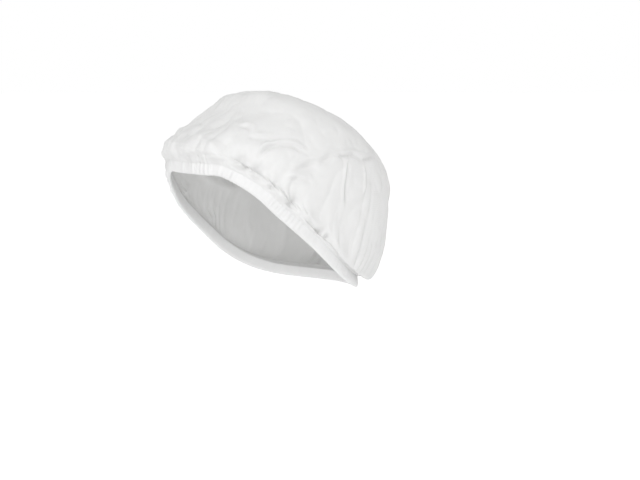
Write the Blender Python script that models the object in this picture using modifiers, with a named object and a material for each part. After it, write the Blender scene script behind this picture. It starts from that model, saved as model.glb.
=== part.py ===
"""Disposable hair cover cap, as it sits on a head: a gathered crown of nonwoven, the folded hem
casing round its opening, and the elastic band inside that casing.

Metres, +Z up. The wearer faces -Y, and the wearer's left is +X. The origin is the seat, the inside
of the crown where the top of the head meets it. Angles round the cap start at the brow and grow
towards the wearer's left, so the nape is at 180 degrees.
"""

import math

import bmesh
import bpy
from mathutils import Vector

# Crown, measured over the cloth as worn
CAP_LENGTH = 0.196
CAP_WIDTH = 0.168
SEAT_SETBACK = 0.021  # the seat lies this far behind the middle of the cap's length
POUF_RISE = 0.0106  # the pouf over the brow stands this far above the seat
WALL = 0.001

# Hem line, the lower edge of the casing round the head
HEM_LENGTH = 0.157
HEM_WIDTH = 0.150
HEM_FORWARD = 0.032  # the middle of the hem line lies this far in front of the seat
BROW_DROP = 0.0555
NAPE_DROP = 0.160
BROW_SQUARENESS = 2.4  # 2 is an ellipse, and more is squarer
NAPE_SQUARENESS = 1.9

# The hem line's fall from the brow to the nape: how much of it has happened at an angle in degrees.
# It stays level across the brow, falls steeply past the temple and flattens at the nape.
FALL_COLUMNS = ("angle", "share")
FALL_ROWS = (
    (0, 0.0),
    (14, 0.0),
    (27, 0.01),
    (45, 0.14),
    (60, 0.33),
    (80, 0.56),
    (100, 0.78),
    (118, 0.91),
    (140, 0.98),
    (180, 1.0),
)

# Elastic, and the hem casing folded round it
GAP = 0.0003  # between pieces that touch
WELD_SHARE = 0.1  # points nearer than this share of the gap are one
ELASTIC_HEIGHT = 0.0055
ELASTIC_THICKNESS = 0.001
HEM_TUCK = 0.0029  # the crown's edge reaches this far down between the casing's two walls
HEM_HEIGHT = WALL + ELASTIC_HEIGHT + 2 * GAP + HEM_TUCK
CHANNEL = max(ELASTIC_THICKNESS, WALL) + 2 * GAP  # between the casing's two walls

# Gathers, the small pleats that the elastic draws up
GATHERS = 48
STATIONS_PER_GATHER = 4
GATHER_DEPTH = 0.0016
MOST_GATHER = 1.35  # the deepest gather against the middling one
GATHER_REACH = 0.040  # how far up the crown the long gathers run
BROW_GATHER_REACH = 0.075
BROW_GATHER_FOCUS = 4  # how closely the longest gathers keep to the middle of the brow
SHORT_GATHER = 0.55  # every other gather runs this share of the way

# Where the crown leaves the casing: it rises clear of it, spreads over its gathers, and then hangs
# over it. The hang is measured outward and upward from there, in shares of the hem's height.
HEM_LIFT = 0.0020
LIP_SPREAD = 0.0008
HANG_COLUMNS = ("place", "out", "rise")
HANG_ROWS = (
    ("brow", 0.17, 0.49),
    ("ear", 0.02, 0.42),
    ("nape", 1.10, -0.75),
)

# Three profiles of the crown from there up to the seat, as shares of how far the crown reaches in
# front of, beside and behind the seat, and of how far the casing's top lies below it there
PROFILE_COLUMNS = (
    "name",
    "front_out",
    "front_drop",
    "side_out",
    "side_drop",
    "back_out",
    "back_drop",
    "squareness",
)
PROFILE_ROWS = (
    ("overhang", 1.000, 0.784, 0.975, 0.852, 0.920, 0.960, 2.2),
    ("brow", 0.925, 0.613, 1.000, 0.695, 0.985, 0.755, 2.25),
    ("temple", 0.785, 0.475, 0.985, 0.506, 1.000, 0.590, 2.3),
    ("slope", 0.645, 0.275, 0.915, 0.322, 0.950, 0.408, 2.2),
    ("pouf", 0.505, 0.047, 0.785, 0.182, 0.808, 0.268, 2.1),
    ("top", 0.339, 0.000, 0.575, 0.085, 0.600, 0.149, 2.0),
    ("seat_edge", 0.169, 0.041, 0.310, 0.030, 0.320, 0.059, 2.0),
)

# The crown's main folds: where each starts and ends, as an angle in degrees and a row of the crown,
# and its width and depth as shares of the cap's width. A minus depth stands out.
FOLD_COLUMNS = ("name", "from_angle", "from_row", "to_angle", "to_row", "width", "depth")
FOLD_ROWS = (
    ("brow_pocket", 36, 2.6, 39, 3.2, 0.045, 0.028),
    ("temple_pocket", 46, 2.6, 50, 3.0, 0.045, 0.028),
    ("ear_pocket", 66, 2.4, 80, 2.5, 0.045, 0.026),
    ("side_crease", 44, 3.9, 62, 5.0, 0.032, 0.032),
    ("low_crease", 58, 4.0, 74, 5.1, 0.032, 0.030),
    ("back_crease", 76, 5.3, 120, 6.2, 0.036, 0.036),
    ("back_edge", 89, 4.1, 86, 5.3, 0.028, 0.022),
    ("brow_crease", 26, 4.9, 44, 4.8, 0.028, 0.016),
    ("front_edge", 20, 5.6, 34, 3.4, 0.055, -0.014),
    ("brow_bump", 6, 3.4, 26, 3.7, 0.060, -0.014),
    ("far_crease", -70, 3.9, -110, 4.7, 0.045, 0.026),
    ("nape_crease", 170, 3.6, -150, 4.6, 0.050, 0.026),
)
FOLD_STEP_COUNT = 12
FOLD_END = 0.08  # a fold keeps this share of a half turn's sine at its ends, and is deepest midway
FOLD_START_ROW = 1.0  # folds fade in from here, so that none reaches into the casing
FOLD_WHOLE_ROW = 3.0

# Rings of points up the crown: fine where the gathers are, coarser towards the middle
FINE_ROWS = (1.0, 1.6, 2.3)
MIDDLE_ROWS = (2.9, 3.4, 3.8, 4.2, 4.65, 5.1, 5.6, 6.1, 6.6, 7.1, 7.6)
TOP_ROWS = (8.1, 8.7, 9.35)
MIDDLE_STATIONS_PER_GATHER = 2
TOP_STATIONS_PER_GATHER = 1


def table(columns, rows):
    """The rows of a table, each with its columns by name."""
    return [dict(zip(columns, row)) for row in rows]


FALL = table(FALL_COLUMNS, FALL_ROWS)
HANG = table(HANG_COLUMNS, HANG_ROWS)
PROFILE = table(PROFILE_COLUMNS, PROFILE_ROWS)
FOLDS = table(FOLD_COLUMNS, FOLD_ROWS)
EDGE_ROW, LIP_ROW, HANG_ROW = range(3)
SEAT_ROW = HANG_ROW + len(PROFILE) + 1


def rounded(angle, squareness):
    """The cosine and sine of an angle, pushed out from a circle to a rounded square."""
    cosine, sine = math.cos(angle), math.sin(angle)
    size = (abs(cosine) ** squareness + abs(sine) ** squareness) ** (1 / squareness)
    return cosine / size, sine / size


def around(front, side, back, cosine):
    """A value that passes smoothly through those at the front, the sides and the back."""
    tilt = (front - back) / 2
    bow = (front + back) / 2 - side
    return side + tilt * cosine + bow * cosine * cosine


def between(places, values, place):
    """A smooth curve through values at uneven places, level at both ends."""
    inner = range(1, len(places) - 1)
    slopes = [(values[i + 1] - values[i - 1]) / (places[i + 1] - places[i - 1]) for i in inner]
    slopes = [0.0] + slopes + [0.0]
    low = max(i for i in range(len(places) - 1) if places[i] <= place)
    span = places[low + 1] - places[low]
    t = (place - places[low]) / span
    return (
        values[low] * (1 + 2 * t) * (1 - t) ** 2
        + values[low + 1] * t * t * (3 - 2 * t)
        + span * slopes[low] * t * (1 - t) ** 2
        - span * slopes[low + 1] * t * t * (1 - t)
    )


def hem_drop(angle):
    """How far the hem line lies below the seat at an angle round the head."""
    turn = abs(math.degrees(math.remainder(angle, 2 * math.pi)))
    share = between([row["angle"] for row in FALL], [row["share"] for row in FALL], turn)
    return BROW_DROP + (NAPE_DROP - BROW_DROP) * share


def hem_point(angle):
    """A point of the hem line, the casing's lower edge, on the outside of its inner wall."""
    cosine, sine = rounded(angle, BROW_SQUARENESS if math.cos(angle) > 0 else NAPE_SQUARENESS)
    return Vector((sine * HEM_WIDTH / 2, -HEM_FORWARD - cosine * HEM_LENGTH / 2, -hem_drop(angle)))


def hem_frame(angle):
    """The hem line's point, its outward direction, and the direction up across the hem."""
    step = math.radians(0.5)
    along = (hem_point(angle + step) - hem_point(angle - step)).normalized()
    outward = Vector((along.y, -along.x, 0)).normalized()
    upward = outward.cross(along).normalized()
    return hem_point(angle), outward, upward


def gather_shares():
    """How wide and how deep each gather is, uneven as hand-drawn cloth is."""
    widths = [1 + 0.28 * math.sin(2.4 * i) + 0.16 * math.sin(5.1 * i + 1) for i in range(GATHERS)]
    depths = [1 + (MOST_GATHER - 1) * math.sin(1.9 * i + 0.6) for i in range(GATHERS)]
    total = sum(widths)
    return [width / total for width in widths], depths


def stations():
    """Angle, wave and gather number at each point round the hem. The wave is 1 on a gather's ridge."""
    widths, _ = gather_shares()
    found = []
    start = 0.0
    for number, width in enumerate(widths):
        for step in range(STATIONS_PER_GATHER):
            share = step / STATIONS_PER_GATHER
            angle = 2 * math.pi * (start + width * share)
            found.append((angle, (1 - math.cos(2 * math.pi * share)) / 2, number))
        start += width
    return found


def thinned(ring, per_gather):
    """The same ring with fewer points to a gather."""
    return ring[:: STATIONS_PER_GATHER // per_gather]


def gather_rise(station, above_hem):
    """How far a gather stands out of the crown, this far above the casing."""
    angle, wave, number = station
    _, depths = gather_shares()
    brow_share = max(0.0, math.cos(angle)) ** BROW_GATHER_FOCUS
    reach = GATHER_REACH + (BROW_GATHER_REACH - GATHER_REACH) * brow_share
    if number % 2:
        reach *= SHORT_GATHER
    fade = max(0.0, 1 - above_hem / reach)
    return GATHER_DEPTH * depths[number] * wave * fade


def casing_point(station, out, up, gathered=True):
    """A point this far outward from the hem line and up from it, standing out with its gather."""
    foot, outward, upward = hem_frame(station[0])
    rise = gather_rise(station, 0) if gathered else 0.0
    return foot + outward * (out + rise) + upward * up


def spline(values, place):
    """A Catmull-Rom curve through evenly placed values."""
    last = len(values) - 1
    index = min(int(place), last - 1)
    t = place - index
    before = values[index - 1] if index > 0 else 2 * values[0] - values[1]
    a, b = values[index], values[index + 1]
    after = values[index + 2] if index + 2 <= last else 2 * values[last] - values[last - 1]
    return 0.5 * (
        2 * a
        + (b - before) * t
        + (2 * before - 5 * a + 4 * b - after) * t * t
        + (3 * a - before - 3 * b + after) * t * t * t
    )


def crown_leaving(angle, row):
    """A point of the crown where it leaves the casing, clears it, or hangs over it."""
    foot, outward, upward = hem_frame(angle)
    edge = foot + outward * (CHANNEL - GAP) + upward * (HEM_HEIGHT + HEM_LIFT)
    if row == EDGE_ROW:
        return edge
    lip = edge + outward * (GAP + WALL + GATHER_DEPTH * MOST_GATHER + LIP_SPREAD)
    if row == LIP_ROW:
        return lip
    out = around(*(place["out"] for place in HANG), math.cos(angle))
    rise = around(*(place["rise"] for place in HANG), math.cos(angle))
    return lip + outward * HEM_HEIGHT * out + upward * HEM_HEIGHT * rise


def crown_at_row(angle, row):
    """A point of the crown at a whole row, from its edge in the casing up to the seat."""
    if row <= HANG_ROW:
        return crown_leaving(angle, row)
    if row == SEAT_ROW:
        return Vector((0, 0, WALL))
    shares = PROFILE[row - HANG_ROW - 1]
    cosine, sine = rounded(angle, shares["squareness"])
    front = -(CAP_LENGTH / 2 + SEAT_SETBACK) * shares["front_out"]
    back = (CAP_LENGTH / 2 - SEAT_SETBACK) * shares["back_out"]
    top = around(POUF_RISE, WALL, WALL, cosine)
    drop = around(shares["front_drop"], shares["side_drop"], shares["back_drop"], cosine)
    height = top - (top + hem_drop(angle) - HEM_HEIGHT) * drop
    middle, half = (front + back) / 2, (back - front) / 2
    return Vector((sine * CAP_WIDTH / 2 * shares["side_out"], middle - cosine * half, height))


def smooth_crown(angle, row):
    """A point of the crown before gathers and folds."""
    return spline([crown_at_row(angle, whole) for whole in range(SEAT_ROW + 1)], row)


def crown_outward(angle, row):
    """The crown's outward direction there."""
    turn, rise = math.radians(1.0), 0.05
    along = smooth_crown(angle + turn, row) - smooth_crown(angle - turn, row)
    low, high = max(0.0, row - rise), min(SEAT_ROW - rise, row + rise)
    up = smooth_crown(angle, high) - smooth_crown(angle, low)
    return along.cross(up).normalized()


def fold_path(fold):
    """Points along a fold, on the smooth crown."""
    path = []
    for step in range(FOLD_STEP_COUNT + 1):
        share = step / FOLD_STEP_COUNT
        turn = (fold["to_angle"] - fold["from_angle"] + 180) % 360 - 180
        angle = math.radians(fold["from_angle"] + turn * share)
        row = fold["from_row"] + (fold["to_row"] - fold["from_row"]) * share
        path.append(smooth_crown(angle, row))
    return path


def fold_depth(point, paths):
    """How far the main folds push the crown in at a point."""
    depth = 0.0
    for fold, path in paths:
        nearest = min(range(len(path)), key=lambda i: (path[i] - point).length)
        distance = (path[nearest] - point).length / (fold["width"] * CAP_WIDTH)
        along = FOLD_END + (1 - 2 * FOLD_END) * nearest / FOLD_STEP_COUNT
        depth += fold["depth"] * CAP_WIDTH * math.exp(-distance * distance) * math.sin(math.pi * along)
    return depth


def crown_point(station, row, paths):
    """A point of the finished crown's outer face."""
    angle = station[0]
    point = smooth_crown(angle, row)
    above_hem = (point - crown_at_row(angle, EDGE_ROW)).length
    whole = (row - FOLD_START_ROW) / (FOLD_WHOLE_ROW - FOLD_START_ROW)
    fold = max(0.0, min(1.0, whole)) * fold_depth(point, paths)
    return point + crown_outward(angle, row) * (gather_rise(station, above_hem) - fold)


def closed_ring(bm, points):
    """A closed ring of edges through the points, given as its vertices in order."""
    ring = [bm.verts.new(point) for point in points]
    for i in range(len(ring)):
        bm.edges.new((ring[i - 1], ring[i]))
    return ring


def ring_edges(bm, ring):
    """The edges round a ring."""
    return [bm.edges.get((ring[i - 1], ring[i])) for i in range(len(ring))]


def drawn_to(bm, ring, points):
    """Extrudes a ring to new points, as many as it has, and gives the new ring in the same order."""
    sources = set(ring)
    twins = {}
    for made in bmesh.ops.extrude_edge_only(bm, edges=ring_edges(bm, ring))["geom"]:
        if isinstance(made, bmesh.types.BMVert):
            beside = (edge.other_vert(made) for edge in made.link_edges)
            twins[next(vert for vert in beside if vert in sources)] = made
    for source, point in zip(ring, points):
        twins[source].co = point
    return [twins[source] for source in ring]


def close_tube(bm, rings):
    """A closed tube round the head: its long corners drawn from one to the next and back to the first."""
    ring = closed_ring(bm, rings[0])
    for points in rings[1:] + rings[:1]:
        ring = drawn_to(bm, ring, points)
    bmesh.ops.remove_doubles(bm, verts=bm.verts, dist=GAP * WELD_SHARE)
    face_out(bm)


def face_out(bm):
    """Turns the faces of a closed skin outward."""
    bmesh.ops.recalc_face_normals(bm, faces=bm.faces)
    if bm.calc_volume(signed=True) < 0:
        bmesh.ops.reverse_faces(bm, faces=bm.faces)


def finish_object(bm, name, material, collection):
    """Makes the mesh an object of its own, facing out and shaded smooth."""
    mesh = bpy.data.meshes.new(name)
    bm.to_mesh(mesh)
    bm.free()
    mesh.shade_smooth()
    made = bpy.data.objects.new(name, mesh)
    made.data.materials.append(material)
    collection.objects.link(made)
    return made


def make_crown(material, collection):
    """The crown: rings from the edge in the casing up to the seat, given the cloth's thickness."""
    bm = bmesh.new()
    fine = stations()
    middle, top = thinned(fine, MIDDLE_STATIONS_PER_GATHER), thinned(fine, TOP_STATIONS_PER_GATHER)
    paths = [(fold, fold_path(fold)) for fold in FOLDS]
    tuck, clear = HEM_HEIGHT - HEM_TUCK, HEM_HEIGHT + HEM_LIFT
    ring = closed_ring(bm, [casing_point(station, CHANNEL - GAP, tuck) for station in fine])
    ring = drawn_to(bm, ring, [casing_point(station, CHANNEL - GAP, clear) for station in fine])
    for around_head, rows in ((fine, FINE_ROWS), (middle, MIDDLE_ROWS), (top, TOP_ROWS)):
        for row in rows:
            points = [crown_point(station, row, paths) for station in around_head]
            if len(points) == len(ring):
                ring = drawn_to(bm, ring, points)
            else:
                coarser = closed_ring(bm, points)
                bmesh.ops.bridge_loops(bm, edges=ring_edges(bm, ring) + ring_edges(bm, coarser))
                ring = coarser
    middle_face = bmesh.ops.contextual_create(bm, geom=ring_edges(bm, ring))["faces"]
    seat = bmesh.ops.poke(bm, faces=middle_face)["verts"][0]
    seat.co = crown_at_row(0, SEAT_ROW)
    bmesh.ops.recalc_face_normals(bm, faces=bm.faces)
    if sum(face.normal.z for face in seat.link_faces) < 0:
        bmesh.ops.reverse_faces(bm, faces=bm.faces)
    crown = finish_object(bm, "crown", material, collection)
    cloth = crown.modifiers.new("cloth", "SOLIDIFY")
    cloth.thickness = WALL
    cloth.offset = -1
    return crown


def make_hem_casing(material, collection):
    """The casing: an inner wall on the head, a fold below and a gathered outer wall, open above."""
    corners = (
        (CHANNEL + WALL, 0.0, True),
        (CHANNEL + WALL, HEM_HEIGHT, True),
        (CHANNEL, HEM_HEIGHT, True),
        (CHANNEL, WALL, True),
        (0.0, WALL, False),
        (0.0, HEM_HEIGHT, False),
        (-WALL, HEM_HEIGHT, False),
        (-WALL, 0.0, False),
    )
    bm = bmesh.new()
    around_head = thinned(stations(), MIDDLE_STATIONS_PER_GATHER)
    close_tube(
        bm,
        [
            [casing_point(station, out, up, gathered) for station in around_head]
            for out, up, gathered in corners
        ],
    )
    return finish_object(bm, "hem_casing", material, collection)


def make_elastic_band(material, collection):
    """The elastic: a flat band stretched round the head, low in the casing."""
    low, high = WALL + GAP, WALL + GAP + ELASTIC_HEIGHT
    inner, outer = GAP, GAP + ELASTIC_THICKNESS
    bm = bmesh.new()
    around_head = thinned(stations(), MIDDLE_STATIONS_PER_GATHER)
    close_tube(
        bm,
        [
            [casing_point(station, out, up, gathered=False) for station in around_head]
            for out, up in ((inner, high), (inner, low), (outer, low), (outer, high))
        ],
    )
    return finish_object(bm, "elastic_band", material, collection)


def make_material(name, colour, roughness):
    """A plain finish in linear colour."""
    material = bpy.data.materials.new(name)
    material.use_nodes = True
    shader = material.node_tree.nodes["Principled BSDF"]
    shader.inputs["Base Color"].default_value = (*colour, 1)
    shader.inputs["Roughness"].default_value = roughness
    shader.inputs["Metallic"].default_value = 0.0
    return material


def main():
    for left_over in list(bpy.data.objects):
        bpy.data.objects.remove(left_over)
    collection = bpy.data.collections.new("hair_cover_cap")
    bpy.context.scene.collection.children.link(collection)
    make_crown(make_material("spunbond_crown", (0.86, 0.87, 0.87), 0.85), collection)
    make_hem_casing(make_material("spunbond_hem", (0.88, 0.88, 0.88), 0.8), collection)
    make_elastic_band(make_material("covered_elastic", (0.80, 0.79, 0.75), 0.6), collection)


main()
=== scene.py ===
"""Looks of the disposable hair cover cap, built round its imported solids.

Metres, +Z up. The wearer faces -Y, and the wearer's left is +X. Angles round the cap start at the
brow and grow towards the wearer's left. Rows count up the crown: -1 is its edge inside the hem, 0 is
where it leaves the hem, and SEAT_ROW is the seat on top of the head.
"""

import math

import bmesh
import bpy
import numpy as np
from mathutils import Euler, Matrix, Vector, noise


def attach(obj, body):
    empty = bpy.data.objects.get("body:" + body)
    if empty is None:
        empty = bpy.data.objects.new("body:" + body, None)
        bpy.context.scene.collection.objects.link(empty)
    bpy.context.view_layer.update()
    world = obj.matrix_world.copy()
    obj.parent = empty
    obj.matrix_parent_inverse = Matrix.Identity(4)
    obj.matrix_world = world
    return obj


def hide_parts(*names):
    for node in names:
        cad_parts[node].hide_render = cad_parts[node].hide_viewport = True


bl_info = {
    "name": "Disposable Hair Cover Cap",
    "version": (1, 0, 0),
    "blender": (4, 5, 0),
    "location": "3D View > Sidebar > Hair Cap",
    "description": "A gathered nonwoven cap with an elasticated hem, and a pale studio for it",
    "category": "Add Mesh",
}

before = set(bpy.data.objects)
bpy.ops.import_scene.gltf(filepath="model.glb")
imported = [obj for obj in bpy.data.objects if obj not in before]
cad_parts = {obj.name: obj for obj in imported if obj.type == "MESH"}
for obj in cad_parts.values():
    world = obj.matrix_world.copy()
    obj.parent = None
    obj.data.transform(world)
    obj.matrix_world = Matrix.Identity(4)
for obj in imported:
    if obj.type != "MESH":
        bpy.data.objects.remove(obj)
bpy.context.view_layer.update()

# The hem line's fall from the brow to the nape: how much of it has happened at an angle in degrees
FALL_COLUMNS = ("angle", "share")
FALL_ROWS = (
    (0, 0.0),
    (14, 0.0),
    (27, 0.01),
    (45, 0.14),
    (60, 0.33),
    (80, 0.56),
    (100, 0.78),
    (118, 0.91),
    (140, 0.98),
    (180, 1.0),
)

# Where the crown lies as it leaves the hem, from the hem's lower edge: outward and up, in shares of the
# hem's height. It is tucked in the hem, passes its top, spreads to a lip, and then hangs over it.
LEAVING_COLUMNS = ("name", "brow_out", "brow_up", "ear_out", "ear_up", "nape_out", "nape_up")
LEAVING_ROWS = (
    ("tuck", 0.13, 0.71, 0.13, 0.71, 0.13, 0.71),
    ("edge", 0.245, 0.96, 0.235, 0.96, 0.21, 0.98),
    ("lip", 0.42, 1.34, 0.42, 1.12, 0.56, 1.18),
    ("hang", 0.72, 1.70, 0.58, 1.24, 1.62, 0.45),
)

# Profiles of the crown from there up to the seat, in front of, beside and behind the seat: shares of
# its reach outward, and of the hem's drop below it
PROFILE_COLUMNS = (
    "name",
    "front_out",
    "front_drop",
    "side_out",
    "side_drop",
    "back_out",
    "back_drop",
    "squareness",
)
PROFILE_ROWS = (
    ("overhang", 1.000, 0.784, 0.975, 0.852, 0.920, 0.960, 2.2),
    ("brow", 0.925, 0.613, 1.000, 0.695, 0.985, 0.755, 2.25),
    ("temple", 0.785, 0.475, 0.985, 0.506, 1.000, 0.590, 2.3),
    ("slope", 0.645, 0.275, 0.915, 0.322, 0.950, 0.408, 2.2),
    ("pouf", 0.505, 0.047, 0.785, 0.182, 0.808, 0.268, 2.1),
    ("top", 0.339, 0.000, 0.575, 0.085, 0.600, 0.149, 2.0),
    ("seat_edge", 0.169, 0.041, 0.310, 0.030, 0.320, 0.059, 2.0),
)

# Creases: the line of each as (angle in degrees, row) points, how wide and deep its valley is in
# millimetres, and how far the cloth on its left bulges over it, as a share of that depth
CREASE_COLUMNS = ("name", "line", "width", "depth", "lip")
CREASE_ROWS = (
    (
        "side",
        ((46, 3.4), (45, 3.85), (45.2, 4.3), (48.5, 4.75), (54, 5.0), (59.5, 5.0), (67, 4.9)),
        2.0,
        3.0,
        0.9,
    ),
    (
        "low_side",
        ((56, 3.7), (60, 4.05), (65.5, 4.6), (69, 4.9), (72.5, 5.15), (75.5, 5.4), (80, 5.5)),
        3.4,
        3.0,
        0.5,
    ),
    (
        "back_shelf",
        (
            (73, 5.2), (77, 5.45), (82, 5.55), (90, 5.8), (98, 5.8), (105, 6), (111, 6.15),
            (122, 6.3),
        ),
        2.0,
        2.8,
        0.8,
    ),
    ("short", ((58, 3.55), (62.5, 3.7), (67, 3.95), (71, 4.0)), 2.2, 2.2, 0.6),
    (
        "back_upright",
        ((92, 3.8), (90, 4.15), (87.5, 4.55), (86.5, 5.15), (86.5, 5.7)),
        1.7,
        1.7,
        0.8,
    ),
    ("back_glint", ((99, 5.7), (99.5, 5.4), (100, 4.95), (100.5, 4.6)), 1.5, -1.5, 0.0),
    ("nape_glint", ((121, 3.9), (122.5, 3.6), (127, 3.3), (129, 3.0)), 1.4, -1.4, 0.0),
    (
        "pouf",
        ((21, 4.9), (25, 4.95), (29.5, 5.05), (34.5, 4.5), (39, 4.55), (46, 4.95), (51, 5.2)),
        2.8,
        1.8,
        0.6,
    ),
    ("front_fold", ((12, 6.3), (15, 5.75), (20, 5.1), (25.5, 4.55), (33, 3.4)), 4.6, -1.6, 0.0),
    ("brow_fold", ((4, 4.1), (9, 3.95), (17, 3.6), (24.5, 3.2), (28, 3.0)), 3.4, -1.7, 0.0),
    ("brow_line", ((-4, 2.1), (2.5, 2.15), (9, 2.45), (15, 2.8), (22, 2.9)), 1.8, -1.2, 0.0),
    ("brow_shade", ((-10, 1.6), (3, 1.7), (12, 1.9), (22, 2.2), (30, 2.3)), 2.6, 1.6, 0.0),
    ("brow_slash", ((39.5, 2.6), (37.5, 2.2), (35, 1.6), (33.5, 1.0)), 2.0, 2.4, 0.5),
    ("brow_rim", ((-76, 3.2), (-56, 3.4), (-36, 3.45), (-14, 3.4), (8, 3.3)), 3.4, -1.6, 0.0),
    (
        "strip_edge",
        ((54, 1.3), (62, 1.6), (70, 1.6), (78.5, 1.6), (86, 2), (101, 1.7), (112, 2.2)),
        2.4,
        2.2,
        0.4,
    ),
    ("far_side", ((-116, 5.0), (-104, 4.5), (-92, 4.2), (-80, 4.1), (-68, 4.3)), 6.0, 3.4, 0.6),
    ("far_low", ((-78, 5.5), (-68, 5.2), (-58, 5.0), (-48, 5.0), (-38, 4.6)), 4.4, 2.6, 0.6),
    ("far_brow", ((-46, 3.8), (-36, 4.2), (-26, 4.3), (-18, 4.6)), 3.8, 1.8, 0.5),
    (
        "nape",
        ((142, 3.2), (156, 3.5), (170, 3.6), (184, 3.5), (198, 3.7), (212, 4.2)),
        8.0,
        3.0,
        0.6,
    ),
    ("nape_high", ((124, 4.6), (136, 5.0), (150, 5.2), (164, 5.2), (178, 5.5)), 7.0, 2.4, 0.6),
    ("nape_upright", ((190, 5.9), (195, 5.4), (198, 4.9), (199, 4.4)), 4.0, 1.8, 0.7),
)

CREASE_STEPS = 12  # steps of a crease's line for each of its points
CREASE_ROUNDING = 8  # how many times the line's corners are softened
CREASE_REACH = 12  # millimetres beyond its own width that the line is looked for from
CREASE_TAPER = 0.3  # share of the line over which it fades at each end
CREASE_TIP = 0.45  # share of its width that is left at its tips
CREASE_WAVES = 17  # how fast its depth varies along it
VALLEY_ROUNDNESS = 1.3  # 1 is a sharp valley, and 2 a round one
LIP_PLACE = 1.5  # where the lip stands, in widths from the valley

# Pockets beside the hem and bumps above it: the middle, the size round and up the cap, and the depth,
# in millimetres. A minus depth stands out.
POCKET_COLUMNS = ("name", "angle", "row", "wide", "tall", "depth")
POCKET_ROWS = (
    ("brow_end", 34.5, 2.3, 6.6, 8.4, 9.4),
    ("temple", 43.5, 2.4, 5.4, 7.4, 7.2),
    ("temple_low", 48.5, 1.35, 2.8, 3.4, 5.0),
    ("before_ear", 59.0, 2.0, 7.0, 4.6, 6.4),
    ("over_ear", 78, 1.85, 5.6, 3.2, 5.0),
    ("behind_ear", 84, 2.2, 2.6, 2.4, 4.4),
    ("brow_bump", 17, 3.3, 11.0, 9.0, -1.4),
    ("temple_pouch", 38.5, 2.3, 2.4, 6.0, -2.4),
    ("cheek_pouch", 52, 2.6, 5.0, 5.0, -2.0),
    ("ear_pouch", 70, 2.3, 6.0, 5.0, -1.8),
    ("far_temple", -40, 2.6, 7.0, 7.0, 4.0),
    ("far_ear", -62, 2.2, 8.0, 5.0, 4.0),
    ("far_behind", -84, 2.3, 8.0, 5.0, 3.6),
    ("far_pouch", -52, 2.8, 6.0, 6.0, -1.6),
)

POCKET_REACH = 20  # millimetres through the cap that a pocket works over, so that it stays on its side

# Gathers, from the finest to the widest: how many go round the hem, how deep they are at the brow, the
# ears and the nape, where up the cloth they start and are deepest, and where they end at the brow, the
# ears and the nape, in millimetres
GATHER_COLUMNS = (
    "name",
    "count",
    "brow",
    "ear",
    "nape",
    "start",
    "full",
    "brow_end",
    "ear_end",
    "nape_end",
    "seed",
)
GATHER_ROWS = (
    ("fine", 140, 2.3, 0.6, 1.2, -20, -10, 22, 13, 20, 0.05),
    ("middle", 52, 1.8, 1.3, 2.4, 0, 12, 80, 46, 76, 1.7),
    ("broad", 23, 0.9, 1.4, 2.6, 6, 30, 84, 86, 130, 2.9),
)

# How far ribs wander from even spacing: turns round the cap, how far as a share of a rib, and phase
RIB_WANDER = ((5, 0.45, 1), (13, 0.3, 2))
# How uneven their heights are about the usual one: step from rib to rib, share of the height, and phase
RIB_HEIGHT = 0.75
RIB_UNEVEN = ((2.4, 0.25, 1), (5.1, 0.2, 2))
RIB_ROUNDNESS = 2.2  # 2 is a parabola, and more is flatter on top
RIB_MIDDLE = 0.5  # share of a rib that lies below the smooth cloth
LEAN, LEAN_TURNS = 0.1, 3  # how far pleats lean along the hem, in turns for each metre up the cloth
UNEVEN_TURNS = 7  # how often round the cap the pleats deepen

# Sizes of the cloth's free wrinkles in millimetres: across, along the way up, and how deep
WRINKLE_COLUMNS = ("name", "across", "along", "depth", "seed")
WRINKLE_ROWS = (
    ("billows", 62, 84, 1.2, 3.1),
    ("dents", 30, 44, 1.4, 8.4),
    ("crumples", 14, 18, 0.7, 5.2),
)
# Turns the ripples off the cap's own axes, so that they don't line up with it
WRINKLE_TURN = np.array(Euler((0.62, 0.47, 0.81)).to_matrix())

RIPPLE, BROW_RIPPLE = 0.8, 0.7  # shares of the ripples' depth all over, and added at the brow
FREE_ROWS = (0.4, 1.7)  # rows over which the cloth becomes free of the hem
FACING_ROWS = (2.0, 3.4)  # rows over which relief turns from the hem's outward way to the crown's own
HEM_STEPS = 7200  # steps in which the hem's length is measured
STATIONS_PER_GATHER = 4
ROW_RUNS = ((-1.0, 0.0, 3), (0.0, 1.0, 4), (1.0, 3.0, 18), (3.0, 6.6, 44), (6.6, 10.0, 16))


def table(columns, rows):
    """The rows of a table, each with its columns by name."""
    return [dict(zip(columns, row)) for row in rows]


FALL = table(FALL_COLUMNS, FALL_ROWS)
LEAVING = table(LEAVING_COLUMNS, LEAVING_ROWS)
PROFILE = table(PROFILE_COLUMNS, PROFILE_ROWS)
CREASES = table(CREASE_COLUMNS, CREASE_ROWS)
POCKETS = table(POCKET_COLUMNS, POCKET_ROWS)
GATHERS = table(GATHER_COLUMNS, GATHER_ROWS)
WRINKLES = table(WRINKLE_COLUMNS, WRINKLE_ROWS)
SEAT_ROW = len(PROFILE) + 3
MM = 0.001


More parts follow.
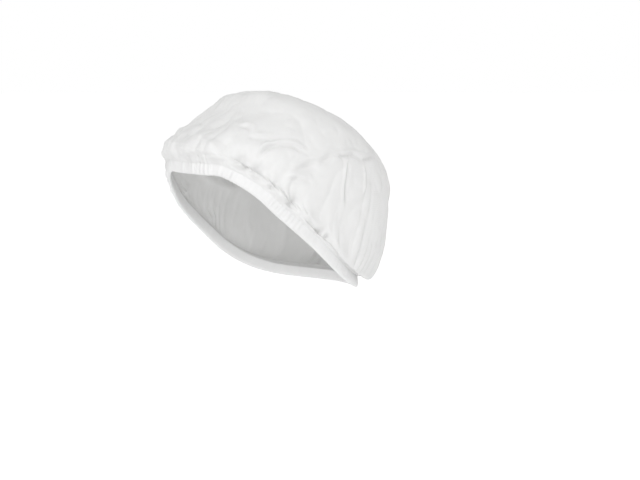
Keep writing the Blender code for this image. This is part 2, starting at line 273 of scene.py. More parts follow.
class HairCapSettings(bpy.types.PropertyGroup):
    """Sizes and colours of the cap."""

    cap_length: bpy.props.FloatProperty(
        name="Cap length", description="Front to back over the crown", default=0.196, unit="LENGTH"
    )
    cap_width: bpy.props.FloatProperty(
        name="Cap width", description="Side to side over the crown", default=0.168, unit="LENGTH"
    )
    seat_setback: bpy.props.FloatProperty(
        name="Seat setback",
        description="How far the seat lies behind the middle",
        default=0.021,
        unit="LENGTH",
    )
    pouf_rise: bpy.props.FloatProperty(
        name="Pouf rise",
        description="How far the front pouf stands above the seat",
        default=0.0106,
        unit="LENGTH",
    )
    seat_cloth: bpy.props.FloatProperty(
        name="Seat cloth",
        description="How far the outer face lies above the seat",
        default=0.001,
        unit="LENGTH",
    )
    hem_length: bpy.props.FloatProperty(
        name="Hem length", description="Front to back round the head", default=0.157, unit="LENGTH"
    )
    hem_width: bpy.props.FloatProperty(
        name="Hem width", description="Side to side round the head", default=0.150, unit="LENGTH"
    )
    hem_forward: bpy.props.FloatProperty(
        name="Hem forward",
        description="How far the hem's middle lies before the seat",
        default=0.032,
        unit="LENGTH",
    )
    brow_drop: bpy.props.FloatProperty(
        name="Brow drop", description="The hem below the seat at the brow", default=0.0555, unit="LENGTH"
    )
    nape_drop: bpy.props.FloatProperty(
        name="Nape drop", description="The hem below the seat at the nape", default=0.160, unit="LENGTH"
    )
    brow_squareness: bpy.props.FloatProperty(
        name="Brow squareness", description="2 is an ellipse, and more is squarer", default=2.4
    )
    nape_squareness: bpy.props.FloatProperty(
        name="Nape squareness", description="2 is an ellipse, and more is squarer", default=1.9
    )
    hem_height: bpy.props.FloatProperty(
        name="Hem height", description="Height of the folded hem", default=0.010, unit="LENGTH"
    )
    elastic_height: bpy.props.FloatProperty(
        name="Elastic height", description="Height of the flat elastic", default=0.0055, unit="LENGTH"
    )
    elastic_thickness: bpy.props.FloatProperty(
        name="Elastic thickness", description="Thickness of the flat elastic", default=0.001, unit="LENGTH"
    )
    cloth_thickness: bpy.props.FloatProperty(
        name="Cloth thickness", description="Thickness of the cloth as drawn", default=0.0004, unit="LENGTH"
    )
    flat_size: bpy.props.FloatProperty(
        name="Flat size", description="Across the flat round cut", default=0.37, unit="LENGTH"
    )
    cloth_colour: bpy.props.StringProperty(
        name="Cloth colour", description="sRGB hex of the crown's cloth", default="#E8E8E8"
    )
    glow_colour: bpy.props.StringProperty(
        name="Cloth glow", description="sRGB hex of light that comes through the cloth", default="#ECECEA"
    )
    elastic_colour: bpy.props.StringProperty(
        name="Elastic colour", description="sRGB hex of the covered elastic", default="#EAE8E0"
    )


class HairCapStageSettings(bpy.types.PropertyGroup):
    """Sizes and colours of the studio."""

    floor_depth: bpy.props.FloatProperty(
        name="Floor depth", description="The floor below the seat", default=0.42, unit="LENGTH"
    )
    floor_size: bpy.props.FloatProperty(
        name="Floor size", description="Across the round floor", default=30.0, unit="LENGTH"
    )
    floor_colour: bpy.props.StringProperty(
        name="Floor colour", description="sRGB hex of the floor", default="#FBFBFB"
    )
    sky_colour: bpy.props.StringProperty(
        name="Sky colour", description="sRGB hex of the even light all round", default="#FFFFFF"
    )
    sky_strength: bpy.props.FloatProperty(
        name="Sky strength", description="Strength of the soft light from overhead", default=0.72
    )
    horizon_strength: bpy.props.FloatProperty(
        name="Horizon strength", description="Strength of the soft light from the sides", default=1.0
    )
    floor_glow: bpy.props.FloatProperty(
        name="Floor glow", description="Light of the floor's own lamps", default=0.34
    )
    key_power: bpy.props.FloatProperty(
        name="Key power", description="Power of the soft front light", default=23.0, unit="POWER"
    )
    key_size: bpy.props.FloatProperty(
        name="Key size", description="Across the soft front light", default=1.7, unit="LENGTH"
    )
    key_back: bpy.props.FloatProperty(
        name="Key back",
        description="The front light from the cap, on the camera's side",
        default=1.7,
        unit="LENGTH",
    )
    key_left: bpy.props.FloatProperty(
        name="Key left", description="The front light, left of the camera", default=0.3, unit="LENGTH"
    )
    key_up: bpy.props.FloatProperty(
        name="Key up", description="The front light, above the camera's line", default=1.0, unit="LENGTH"
    )
    view_azimuth: bpy.props.FloatProperty(
        name="View azimuth",
        description="The camera round the cap from the brow",
        default=math.radians(49),
        unit="ROTATION",
    )
    view_elevation: bpy.props.FloatProperty(
        name="View elevation",
        description="The camera above the horizon",
        default=math.radians(7.2),
        unit="ROTATION",
    )
    view_distance: bpy.props.FloatProperty(
        name="View distance", description="The camera from the cap", default=1.3, unit="LENGTH"
    )
    view_lens: bpy.props.FloatProperty(name="Lens", description="Focal length in millimetres", default=85.0)
    aim_right: bpy.props.FloatProperty(
        name="Aim right", description="The picture's middle, right of the seat", default=0.0217, unit="LENGTH"
    )
    aim_down: bpy.props.FloatProperty(
        name="Aim down", description="The picture's middle, below the seat", default=0.1184, unit="LENGTH"
    )


# Shape of the cap


def rounded(angle, squareness):
    """The cosine and sine of angles, pushed out from a circle to a rounded square."""
    cosine, sine = np.cos(angle), np.sin(angle)
    size = (np.abs(cosine) ** squareness + np.abs(sine) ** squareness) ** (1 / squareness)
    return cosine / size, sine / size


def around(front, side, back, cosine):
    """A value that passes smoothly through those at the front, the sides and the back."""
    tilt = (front - back) / 2
    bow = (front + back) / 2 - side
    return side + tilt * cosine + bow * cosine * cosine


def between(places, values, place):
    """A smooth curve through values at uneven places, level at both ends."""
    places, values = np.array(places, float), np.array(values, float)
    slopes = np.zeros(len(values))
    slopes[1:-1] = (values[2:] - values[:-2]) / (places[2:] - places[:-2])
    low = np.clip(np.searchsorted(places, place, side="right") - 1, 0, len(places) - 2)
    span = places[low + 1] - places[low]
    t = (place - places[low]) / span
    return (
        values[low] * (1 + 2 * t) * (1 - t) ** 2
        + values[low + 1] * t * t * (3 - 2 * t)
        + span * slopes[low] * t * (1 - t) ** 2
        - span * slopes[low + 1] * t * t * (1 - t)
    )


def unit(vectors):
    """The vectors made one long."""
    return vectors / np.maximum(np.linalg.norm(vectors, axis=-1, keepdims=True), 1e-12)


def hem_drop(size, angle):
    """How far the hem line lies below the seat."""
    turn = np.degrees(np.abs((angle + np.pi) % (2 * np.pi) - np.pi))
    share = between([row["angle"] for row in FALL], [row["share"] for row in FALL], turn)
    return size.brow_drop + (size.nape_drop - size.brow_drop) * share


def hem_line(size, angle):
    """Points of the hem's lower edge, on the outside of its inner wall."""
    squareness = np.where(np.cos(angle) > 0, size.brow_squareness, size.nape_squareness)
    cosine, sine = rounded(angle, squareness)
    across = sine * size.hem_width / 2
    along = -size.hem_forward - cosine * size.hem_length / 2
    return np.stack([across, along, -hem_drop(size, angle)], axis=-1)


def hem_frame(size, angle):
    """Points of the hem line, with the directions outward from it and up across the hem."""
    step = math.radians(0.5)
    along = unit(hem_line(size, angle + step) - hem_line(size, angle - step))
    outward = unit(np.stack([along[..., 1], -along[..., 0], np.zeros_like(along[..., 0])], axis=-1))
    return hem_line(size, angle), outward, unit(np.cross(outward, along))


def hem_angles(size, count):
    """Angles at equal steps along the hem line."""
    fine = np.linspace(0, 2 * np.pi, HEM_STEPS + 1)
    steps = np.linalg.norm(np.diff(hem_line(size, fine), axis=0), axis=1)
    way = np.concatenate([[0.0], np.cumsum(steps)])
    return np.interp(np.linspace(0, way[-1], count, endpoint=False), way, fine), way[-1]


def crown_keys(size, angle):
    """Rows of points that the smooth crown passes through, from its edge inside the hem to the seat."""
    foot, outward, upward = hem_frame(size, angle)
    keys = []
    for row in LEAVING:
        out = around(row["brow_out"], row["ear_out"], row["nape_out"], np.cos(angle))[:, None]
        up = around(row["brow_up"], row["ear_up"], row["nape_up"], np.cos(angle))[:, None]
        keys.append(foot + (outward * out + upward * up) * size.hem_height)
    for row in PROFILE:
        cosine, sine = rounded(angle, row["squareness"])
        front = -(size.cap_length / 2 + size.seat_setback) * row["front_out"]
        back = (size.cap_length / 2 - size.seat_setback) * row["back_out"]
        top = around(size.pouf_rise, size.seat_cloth, size.seat_cloth, cosine)
        drop = around(row["front_drop"], row["side_drop"], row["back_drop"], cosine)
        height = top - (top + hem_drop(size, angle) - size.hem_height) * drop
        across = sine * size.cap_width / 2 * row["side_out"]
        keys.append(np.stack([across, (front + back) / 2 - cosine * (back - front) / 2, height], axis=-1))
    keys.append(np.zeros_like(foot) + np.array([0, 0, size.seat_cloth]))
    return np.array(keys)


def spline(keys, rows):
    """A smooth curve through evenly placed rows of points."""
    padded = np.concatenate([[2 * keys[0] - keys[1]], keys, [2 * keys[-1] - keys[-2]]])
    index = np.minimum(np.floor(rows).astype(int), len(keys) - 2)
    t = (rows - index)[:, None, None]
    p0, p1, p2, p3 = (padded[index + i] for i in range(4))
    bend = (2 * p0 - 5 * p1 + 4 * p2 - p3) * t * t + (3 * p1 - p0 - 3 * p2 + p3) * t * t * t
    return 0.5 * (2 * p1 + (p2 - p0) * t + bend)


def smooth_crown(size, angle, rows):
    """The crown before its gathers and folds."""
    return spline(crown_keys(size, angle), np.asarray(rows, float) + 1)


def crown_facing(size, angle, rows):
    """The crown's outward directions."""
    turn, rise = math.radians(1), 0.04
    rows = np.asarray(rows, float)
    along = smooth_crown(size, angle + turn, rows) - smooth_crown(size, angle - turn, rows)
    high, low = np.minimum(rows + rise, SEAT_ROW), np.maximum(rows - rise, -1)
    up = smooth_crown(size, angle, high) - smooth_crown(size, angle, low)
    facing = unit(np.cross(along, up))
    facing[rows > SEAT_ROW - rise] = (0, 0, 1)
    return facing


# Relief of the cloth, each in metres outward


def eased(value):
    """0 to 1 with soft ends."""
    value = np.clip(value, 0, 1)
    return value * value * (3 - 2 * value)


def ribs(place, count, seed):
    """Uneven rounded ribs with sharp valleys between them, at shares of the way round the hem."""
    wide = place * count
    for turns, far, phase in RIB_WANDER:
        wide = wide + far * (np.sin(2 * np.pi * turns * place + phase * seed) - math.sin(phase * seed))
    number = np.floor(wide)
    inside = wide - number
    height = RIB_HEIGHT
    for step, more, phase in RIB_UNEVEN:
        height = height + more * np.sin(number % count * step + phase * seed)
    return height * (1 - np.abs(2 * inside - 1) ** RIB_ROUNDNESS) - RIB_MIDDLE


def gathers(place, above, cosine):
    """Pleats that the elastic draws up, finer near the hem and fewer above it."""
    relief = 0
    for row in GATHERS:
        end = around(row["brow_end"], row["ear_end"], row["nape_end"], cosine) * MM
        depth = around(row["brow"], row["ear"], row["nape"], cosine) * MM
        lean = LEAN * np.sin(2 * np.pi * LEAN_TURNS * place + 9 * row["seed"]) * np.maximum(above, 0)
        rise = eased((above - row["start"] * MM) / ((row["full"] - row["start"]) * MM))
        fade = eased((end - above) / (end - row["full"] * MM))
        uneven = 0.8 + 0.4 * np.sin(2 * np.pi * UNEVEN_TURNS * place + 4 * row["seed"])
        relief = relief + ribs((place + lean) % 1, row["count"], row["seed"]) * depth * rise * fade * uneven
    return relief


def wrinkles(points):
    """Folded, faceted ripples of crisp cloth."""
    relief = np.zeros(points.shape[:-1])
    for row in WRINKLES:
        spots = points / MM / (row["across"], row["across"], row["along"]) @ WRINKLE_TURN + row["seed"]
        for index in np.ndindex(relief.shape):
            relief[index] += row["depth"] * MM * (2 * abs(noise.noise(Vector(spots[index]))) - 0.5)
    return relief


def creases(size, points):
    """The crown's named creases, sharp in the valley with a bulging lip on one side."""
    relief = np.zeros(points.shape[:-1])
    for crease in CREASES:
        stops = np.array(crease["line"], float)
        share = np.linspace(0, 1, CREASE_STEPS * len(stops))
        bends = share * (len(stops) - 1)
        angle = np.radians(np.interp(bends, range(len(stops)), stops[:, 0]))
        row = np.interp(bends, range(len(stops)), stops[:, 1])
        spots = [(angle[i : i + 1], [row[i]]) for i in range(len(share))]
        line = np.array([smooth_crown(size, *spot)[0, 0] for spot in spots])
        facing = np.array([crown_facing(size, *spot)[0, 0] for spot in spots])
        for _ in range(CREASE_ROUNDING):
            line[1:-1] = (line[:-2] + 2 * line[1:-1] + line[2:]) / 4
        width = crease["width"] * MM
        stations = line[None, None, ::CREASE_STEPS]
        reach = np.min(np.linalg.norm(points[:, :, None] - stations, axis=-1), axis=-1)
        near = np.nonzero(reach < CREASE_REACH * MM + 4 * width)
        away = points[near][:, None] - line[None, :-1]
        step = np.diff(line, axis=0)
        part = np.clip(np.einsum("ijk,jk->ij", away, step) / np.sum(step * step, axis=1), 0, 1)
        gap = away - part[..., None] * step
        nearest = np.linalg.norm(gap, axis=-1).argmin(axis=1)
        picked = np.arange(len(nearest))
        left = unit(np.cross(facing[:-1], step))[nearest]
        aside = np.einsum("ij,ij->i", gap[picked, nearest], left)
        past = np.linalg.norm(gap[picked, nearest] - aside[:, None] * left, axis=1)
        along = (nearest + part[picked, nearest]) / len(step)
        taper = eased(np.minimum(along, 1 - along) / CREASE_TAPER)
        uneven = 0.8 + 0.2 * np.sin(along * CREASE_WAVES + crease["width"])
        fade = taper * np.exp(-((past / width) ** 2)) * uneven
        across = aside / width / (CREASE_TIP + (1 - CREASE_TIP) * taper)
        valley = -np.exp(-np.abs(across) ** VALLEY_ROUNDNESS)
        lip = crease["lip"] * np.exp(-((across - LIP_PLACE) ** 2))
        np.add.at(relief, near, crease["depth"] * MM * fade * (valley + lip))
    return relief


def pockets(size, points):
    """Hollows beside the hem, and pouches between them."""
    relief = np.zeros(points.shape[:-1])
    for pocket in POCKETS:
        angle = np.radians([pocket["angle"]])
        middle = smooth_crown(size, angle, [pocket["row"]])[0, 0]
        facing = crown_facing(size, angle, [pocket["row"]])[0, 0]
        up = smooth_crown(size, angle, [pocket["row"] + 0.1])[0, 0] - middle
        up = unit(up - facing * np.dot(up, facing))
        away = points - middle
        across = away @ np.cross(up, facing) / (pocket["wide"] * MM)
        rise = away @ up / (pocket["tall"] * MM)
        depth = away @ facing / (POCKET_REACH * MM)
        relief -= pocket["depth"] * MM * np.exp(-across * across - rise * rise - depth * depth)
    return relief


def crown_points(size, angles, rows):
    """The finished crown's outer face, one row of points for each of rows, and its flat cut."""
    smooth = smooth_crown(size, angles, rows)
    facing = crown_facing(size, angles, rows)
    _, outward, _ = hem_frame(size, angles)
    steps = np.linalg.norm(np.diff(smooth, axis=0), axis=-1)
    way = np.concatenate([np.zeros((1, len(angles))), np.cumsum(steps, axis=0)])
    start = np.abs(rows).argmin()
    above = way - way[start]
    place = np.broadcast_to(np.arange(len(angles)) / len(angles), above.shape)
    brow = np.maximum(0, np.cos(angles)) ** 4
    free = eased((rows - FREE_ROWS[0]) / (FREE_ROWS[1] - FREE_ROWS[0]))[:, None]
    closing = eased(SEAT_ROW - rows)[:, None]
    relief = gathers(place, above, np.cos(angles)) * closing
    relief = relief + wrinkles(smooth) * free * (RIPPLE + BROW_RIPPLE * brow * closing)
    relief = relief + (creases(size, smooth) + pockets(size, smooth)) * free
    blend = eased((rows - FACING_ROWS[0]) / (FACING_ROWS[1] - FACING_ROWS[0]))[:, None, None]
    push = unit(outward[None] * (1 - blend) + facing * blend)
    radius = (way[-1] - way) / way[-1] * size.flat_size / 2
    turn = 2 * np.pi * place
    flat = np.stack([radius * np.sin(turn), -radius * np.cos(turn)], axis=-1)
    return smooth + push * relief[..., None], flat


# Meshes


def cloth_from_grid(points, flat, closed=False):
    """A mesh of rows of points that each go once round the head, with their flat cut as its UV map."""
    tall, around_head = points.shape[:2]
    points, flat = (np.concatenate([a, a[:, :1]], axis=1) for a in (points, flat))
    if closed:
        points, flat = (np.concatenate([a, a[:1]], axis=0) for a in (points, flat))
        tall += 1
    bm = bmesh.new()
    cut = bm.verts.layers.float_vector.new("cut")
    bmesh.ops.create_grid(bm, x_segments=around_head, y_segments=tall - 1, size=1)
    places, cuts = points.reshape(-1, 3), flat.reshape(-1, 2)
    for vert, place, spot in zip(bm.verts, places, cuts):
        vert.co = place
        vert[cut] = (*spot, 0)
    bmesh.ops.remove_doubles(bm, verts=bm.verts, dist=1e-6)
    bmesh.ops.recalc_face_normals(bm, faces=bm.faces)
    uv = bm.loops.layers.uv.new("flat_cut")
    for face in bm.faces:
        for loop in face.loops:
            loop[uv].uv = loop.vert[cut][:2]
    bm.verts.layers.float_vector.remove(bm.verts.layers.float_vector["cut"])
    return bm


def finish_piece(bm, name, material):
    """Makes the mesh an object of its own, shaded smooth."""
    mesh = bpy.data.meshes.new(name)
    bm.to_mesh(mesh)
    bm.free()
    mesh.shade_smooth()
    mesh.materials.append(material)
    made = bpy.data.objects.new(name, mesh)
    bpy.context.scene.collection.objects.link(made)
    return made


def thicken(piece, thickness, offset):
    """Gives a sheet of cloth its thickness."""
    wall = piece.modifiers.new("cloth", "SOLIDIFY")
    wall.thickness = thickness
    wall.offset = offset


def outside_up(bm):
    """Turns the crown's faces outward, as its top face looks up."""
    top = max(bm.faces, key=lambda face: face.calc_center_median().z)
    if top.normal.z < 0:
        bmesh.ops.reverse_faces(bm, faces=bm.faces)


def row_places(runs):
    """Rows of points up the crown, close together where the cloth is gathered."""
    found = [np.linspace(low, high, count, endpoint=False) for low, high, count in runs]
    return np.concatenate(found + [[runs[-1][1]]])


# Materials


# Sizes of the finishes in millimetres
BOND_SPACING = 2.0
FIBRE_GRAIN = 1.1
CLOUD_SIZE = 9.0
YARN_WAVE = 6.3


def linear(hex_colour):
    """An sRGB hex colour as linear light."""
    parts = [int(hex_colour.lstrip("#")[i : i + 2], 16) / 255 for i in (0, 2, 4)]
    return [p / 12.92 if p <= 0.04045 else ((p + 0.055) / 1.055) ** 2.4 for p in parts] + [1.0]


def add_node(material, kind, settings=None, links=None):
    """Adds a node to the material, with its settings by name and its inputs linked."""
    node = material.node_tree.nodes.new(kind)
    for name, value in (settings or {}).items():
        if isinstance(name, int) or name in node.inputs:
            node.inputs[name].default_value = value
        else:
            setattr(node, name, value)
    for name, source in (links or {}).items():
        material.node_tree.links.new(source, node.inputs[name])
    return node


def make_spunbond(name, colour, glow, through):
    """Spunbond polypropylene. Melt-spun fibres give a matte white with a cloudy weight and a soft
    sheen, the hot calender leaves small bonded dimples, and light comes through the thin web."""
    material = bpy.data.materials.new(name)
    material.use_nodes = True
    material.node_tree.nodes.clear()
    cut = add_node(material, "ShaderNodeUVMap", {"uv_map": "flat_cut"})
    place = add_node(material, "ShaderNodeTexCoord")
    # Real bond points are about 1.2 mm apart, and are drawn further apart so that they show.
    bonds = add_node(
        material,
        "ShaderNodeVectorMath",
        {"operation": "MULTIPLY", 1: (2 * math.pi / (BOND_SPACING * MM),) * 3},
        {0: cut.outputs["UV"]},
    )
    axes = add_node(material, "ShaderNodeSeparateXYZ", links={0: bonds.outputs[0]})
    across, along = (
        add_node(material, "ShaderNodeMath", {"operation": "SINE"}, {0: axes.outputs[i]}) for i in (0, 1)
    )
    dots = add_node(
        material,
        "ShaderNodeMath",
        {"operation": "MULTIPLY"},
        {0: across.outputs[0], 1: along.outputs[0]},
    )
    dimples = add_node(
        material,
        "ShaderNodeMapRange",
        {"interpolation_type": "SMOOTHSTEP", "From Min": 0.2, "From Max": 0.9, "To Min": 1.0, "To Max": 0.0},
        {"Value": dots.outputs[0]},
    )
    fibres = add_node(
        material,
        "ShaderNodeTexNoise",
        {"Scale": 1 / (FIBRE_GRAIN * MM), "Detail": 3.0, "Roughness": 0.6},
        {"Vector": place.outputs["Object"]},
    )
    grain = add_node(
        material,
        "ShaderNodeMath",
        {"operation": "MULTIPLY_ADD", 1: 0.7},
        {0: fibres.outputs["Fac"], 2: dimples.outputs[0]},
    )
    bump = add_node(
        material, "ShaderNodeBump", {"Strength": 0.35, "Distance": 0.12 * MM}, {"Height": grain.outputs[0]}
    )
    cloud = add_node(
        material,
        "ShaderNodeTexNoise",
        {"Scale": 1 / (CLOUD_SIZE * MM), "Detail": 4.0, "Roughness": 0.55},
        {"Vector": place.outputs["Object"]},
    )
    weight = add_node(
        material,
        "ShaderNodeMapRange",
        {"From Min": 0.3, "From Max": 0.7, "To Min": 0.965, "To Max": 1.0},
        {"Value": cloud.outputs["Fac"]},
    )
    tint = add_node(
        material,
        "ShaderNodeVectorMath",
        {"operation": "SCALE", 0: linear(colour)[:3]},
        {"Scale": weight.outputs[0]},
    )
    face = add_node(
        material,
        "ShaderNodeBsdfPrincipled",
        {"Roughness": 0.72, "IOR": 1.49, "Sheen Weight": 0.08, "Sheen Roughness": 0.5},
        {"Base Color": tint.outputs[0], "Normal": bump.outputs[0]},
    )
    behind = add_node(
        material, "ShaderNodeBsdfTranslucent", {"Color": linear(glow)}, {"Normal": bump.outputs[0]}
    )
    both = add_node(
        material, "ShaderNodeMixShader", {0: through}, {1: face.outputs[0], 2: behind.outputs[0]}
    )
    add_node(material, "ShaderNodeOutputMaterial", links={"Surface": both.outputs[0]})
    return material


def make_braid(name, colour):
    """Covered elastic. Polyester yarn round rubber is matte, with fine ribs across the band."""
    material = bpy.data.materials.new(name)
    material.use_nodes = True
    material.node_tree.nodes.clear()
    cut = add_node(material, "ShaderNodeUVMap", {"uv_map": "flat_cut"})
    yarns = add_node(
        material,
        "ShaderNodeTexWave",
        {"Scale": 1 / (YARN_WAVE * MM), "Distortion": 0.4},
        {"Vector": cut.outputs["UV"]},
    )
    bump = add_node(
        material, "ShaderNodeBump", {"Strength": 0.5, "Distance": 0.1 * MM}, {"Height": yarns.outputs["Fac"]}
    )
    face = add_node(
        material,
        "ShaderNodeBsdfPrincipled",
        {"Base Color": linear(colour), "Roughness": 0.65},
        {"Normal": bump.outputs[0]},
    )
    add_node(material, "ShaderNodeOutputMaterial", links={"Surface": face.outputs[0]})
    return material


def make_paper(name, colour, glow):
    """Matte studio paper, lit by lamps of its own. Its even white carries only the softest shade."""
    material = bpy.data.materials.new(name)
    material.use_nodes = True
    material.node_tree.nodes.clear()
    face = add_node(
        material,
        "ShaderNodeBsdfPrincipled",
        {
            "Base Color": linear(colour),
            "Roughness": 0.95,
            "Emission Color": linear(colour),
            "Emission Strength": glow,
        },
    )
    add_node(material, "ShaderNodeOutputMaterial", links={"Surface": face.outputs[0]})
    return material


def make_sky(name, stage):
    """Soft light all round, white at the horizon and dimmer overhead."""
    sky = bpy.data.worlds.new(name)
    sky.use_nodes = True
    light = sky.node_tree.nodes["Background"]
    light.inputs["Color"].default_value = linear(stage.sky_colour)
    place = add_node(sky, "ShaderNodeTexCoord")
    axes = add_node(sky, "ShaderNodeSeparateXYZ", links={0: place.outputs["Generated"]})
    strength = add_node(
        sky,
        "ShaderNodeMapRange",
        {"From Min": 0.12, "From Max": 0.4, "To Min": stage.horizon_strength, "To Max": stage.sky_strength},
        {"Value": axes.outputs["Z"]},
    )
    sky.node_tree.links.new(strength.outputs[0], light.inputs["Strength"])
    return sky


# Operators


class HAIRCAP_OT_crown(bpy.types.Operator):
    """Adds the gathered crown of spunbond cloth"""

    bl_idname = "hair_cap.crown"
    bl_label = "Gathered Crown"

    def execute(self, context):
        size = context.scene.hair_cap
        count = GATHERS[0]["count"] * STATIONS_PER_GATHER
        angles, _ = hem_angles(size, count)
        points, flat = crown_points(size, angles, row_places(ROW_RUNS))
        bm = cloth_from_grid(points, flat)
        outside_up(bm)
        cloth = make_spunbond("spunbond_polypropylene", size.cloth_colour, size.glow_colour, 0.3)
        crown = finish_piece(bm, "crown_cloth", cloth)
        thicken(crown, size.cloth_thickness, -1)
        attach(crown, "root")
        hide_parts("crown")
        return {"FINISHED"}


# Corners of the hem casing's cross-section, from the top of its inner wall round the fold below to the
# top of its outer wall: outward and up in millimetres, and how far it follows the gathers
HEM_COLUMNS = ("out", "up", "gathered")
HEM_ROWS = (
    (-0.45, 10.0, -0.30),
    (-0.60, 8.6, -0.42),
    (-0.75, 6.0, -0.45),
    (-0.75, 3.2, -0.40),
    (-0.55, 1.3, -0.25),
    (-0.05, 0.35, 0.0),
    (0.90, 0.0, 0.28),
    (1.80, 0.35, 0.60),
    (2.35, 1.3, 0.88),
    (2.60, 2.8, 1.02),
    (2.60, 4.4, 1.06),
    (2.50, 6.0, 1.04),
    (2.35, 7.4, 1.00),
    (2.15, 8.4, 0.98),
    (2.05, 9.1, 0.98),
    (2.05, 9.8, 1.00),
)
HEM_SECTION = table(HEM_COLUMNS, HEM_ROWS)
HEM_FULLNESS = 2.2  # the cloth's flat length for each length of the hem
ELASTIC_OUT, ELASTIC_UP = 0.3, 1.3  # the band's place in the hem, in millimetres
ELASTIC_CORNER = 0.25  # share of the band's thickness that its edges are rounded by


class HAIRCAP_OT_hem(bpy.types.Operator):
    """Adds the hem casing, folded round the elastic and gathered by it"""

    bl_idname = "hair_cap.hem"
    bl_label = "Gathered Hem"

    def execute(self, context):
        size = context.scene.hair_cap
        count = GATHERS[0]["count"] * STATIONS_PER_GATHER
        angles, girth = hem_angles(size, count)
        foot, outward, upward = hem_frame(size, angles)
        place = np.arange(count) / count
        band = ELASTIC_OUT * MM + size.elastic_thickness + size.cloth_thickness / 2
        rows, cuts = [], []
        way = 0.0
        last = None
        for corner in HEM_SECTION:
            up = corner["up"] * MM
            pleats = gathers(place, np.full(count, up - size.hem_height), np.cos(angles)) * corner["gathered"]
            out = corner["out"] * MM + pleats
            if corner["out"] * MM > band:
                out = np.maximum(out, band)
            rows.append(foot + outward * out[:, None] + upward * up)
            spot = Vector((corner["out"] * MM, up))
            way += (spot - last).length if last else 0.0
            last = spot
            cuts.append(np.stack([place * girth * HEM_FULLNESS, np.full(count, way)], axis=-1))
        bm = cloth_from_grid(np.array(rows), np.array(cuts))
        low = min(bm.faces, key=lambda face: face.calc_center_median().z)
        if low.normal.z > 0:
            bmesh.ops.reverse_faces(bm, faces=bm.faces)
        cloth = make_spunbond("spunbond_polypropylene_doubled", size.cloth_colour, size.glow_colour, 0.2)
        hem = finish_piece(bm, "hem_cloth", cloth)
        thicken(hem, size.cloth_thickness, 0)
        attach(hem, "root")
        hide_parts("hem_casing")
        return {"FINISHED"}


class HAIRCAP_OT_elastic(bpy.types.Operator):
    """Adds the flat elastic inside the hem"""

    bl_idname = "hair_cap.elastic"
    bl_label = "Flat Elastic"

    def execute(self, context):
        size = context.scene.hair_cap
        count = 2 * GATHERS[0]["count"]
        angles, girth = hem_angles(size, count)
        foot, outward, upward = hem_frame(size, angles)
        inner, low = ELASTIC_OUT * MM, ELASTIC_UP * MM
        outer, high = inner + size.elastic_thickness, low + size.elastic_height
        soft = ELASTIC_CORNER * size.elastic_thickness
        section = (
            (inner, low + soft),
            (inner + soft, low),
            (outer - soft, low),
            (outer, low + soft),
            (outer, high - soft),
            (outer - soft, high),
            (inner + soft, high),
            (inner, high - soft),
        )
        rows = [foot + outward * out + upward * up for out, up in section]
        place = np.arange(count) / count * girth
        cuts = [np.stack([place, np.full(count, up)], axis=-1) for _, up in section]
        bm = cloth_from_grid(np.array(rows), np.array(cuts), closed=True)
        if bm.calc_volume(signed=True) < 0:
            bmesh.ops.reverse_faces(bm, faces=bm.faces)
        band = finish_piece(bm, "covered_elastic", make_braid("covered_elastic_braid", size.elastic_colour))
        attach(band, "root")
        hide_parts("elastic_band")
        return {"FINISHED"}


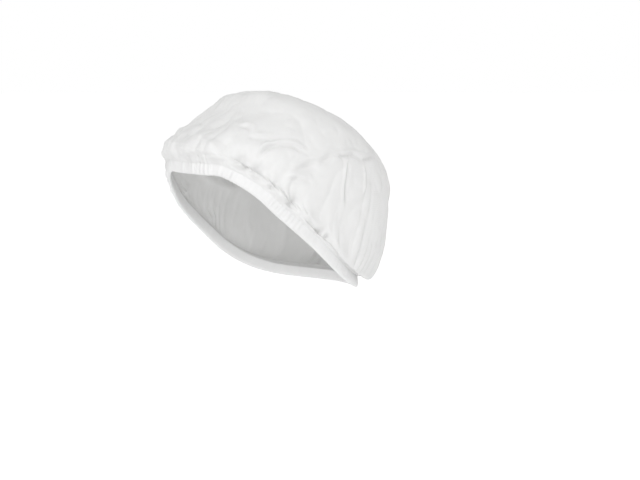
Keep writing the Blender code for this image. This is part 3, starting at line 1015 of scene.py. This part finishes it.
class HAIRCAP_OT_stage(bpy.types.Operator):
    """Adds the pale floor, the soft lights and the camera"""

    bl_idname = "hair_cap.stage"
    bl_label = "Studio"

    def execute(self, context):
        stage = context.scene.hair_cap_stage
        bm = bmesh.new()
        bmesh.ops.create_circle(bm, cap_ends=True, radius=stage.floor_size / 2, segments=96)
        bmesh.ops.translate(bm, verts=bm.verts, vec=(0, 0, -stage.floor_depth))
        paper = make_paper("matte_studio_paper", stage.floor_colour, stage.floor_glow)
        floor = finish_piece(bm, "studio_floor", paper)
        context.scene.world = make_sky("studio_sky", stage)
        azimuth, elevation = stage.view_azimuth, stage.view_elevation
        right = Vector((math.cos(azimuth), math.sin(azimuth), 0))
        back = Vector(
            (
                math.sin(azimuth) * math.cos(elevation),
                -math.cos(azimuth) * math.cos(elevation),
                math.sin(elevation),
            )
        )
        aim = right * stage.aim_right - back.cross(right) * stage.aim_down
        camera = bpy.data.objects.new("studio_camera", bpy.data.cameras.new("studio_camera"))
        camera.data.lens = stage.view_lens
        camera.data.sensor_width = 36
        camera.location = aim + back * stage.view_distance
        camera.rotation_euler = back.to_track_quat("Z", "Y").to_euler()
        context.scene.collection.objects.link(camera)
        context.scene.camera = camera
        lamp = bpy.data.lights.new("front_softbox", "AREA")
        lamp.shape = "DISK"
        lamp.size = stage.key_size
        lamp.energy = stage.key_power
        key = bpy.data.objects.new("front_softbox", lamp)
        key.location = back * stage.key_back - right * stage.key_left + Vector((0, 0, stage.key_up))
        key.rotation_euler = (key.location - aim).to_track_quat("Z", "Y").to_euler()
        context.scene.collection.objects.link(key)
        context.scene.view_settings.view_transform = "Standard"
        return {"FINISHED"}


class HAIRCAP_PT_panel(bpy.types.Panel):
    """Lists the cap's pieces and sizes"""

    bl_idname = "HAIRCAP_PT_panel"
    bl_label = "Hair Cap"
    bl_space_type = "VIEW_3D"
    bl_region_type = "UI"
    bl_category = "Hair Cap"

    def draw(self, context):
        for operator in OPERATORS:
            self.layout.operator(operator.bl_idname)
        for group in (context.scene.hair_cap, context.scene.hair_cap_stage):
            box = self.layout.box()
            for name in group.__annotations__:
                box.prop(group, name)


OPERATORS = (HAIRCAP_OT_crown, HAIRCAP_OT_hem, HAIRCAP_OT_elastic, HAIRCAP_OT_stage)
CLASSES = (HairCapSettings, HairCapStageSettings, *OPERATORS, HAIRCAP_PT_panel)


def register():
    for cls in CLASSES:
        bpy.utils.register_class(cls)
    bpy.types.Scene.hair_cap = bpy.props.PointerProperty(type=HairCapSettings)
    bpy.types.Scene.hair_cap_stage = bpy.props.PointerProperty(type=HairCapStageSettings)


def unregister():
    del bpy.types.Scene.hair_cap_stage
    del bpy.types.Scene.hair_cap
    for cls in reversed(CLASSES):
        bpy.utils.unregister_class(cls)


def main():
    """Builds the cap and its studio."""
    register()
    bpy.ops.hair_cap.crown()
    bpy.ops.hair_cap.hem()
    bpy.ops.hair_cap.elastic()
    bpy.ops.hair_cap.stage()


if __name__ == "__main__":
    main()
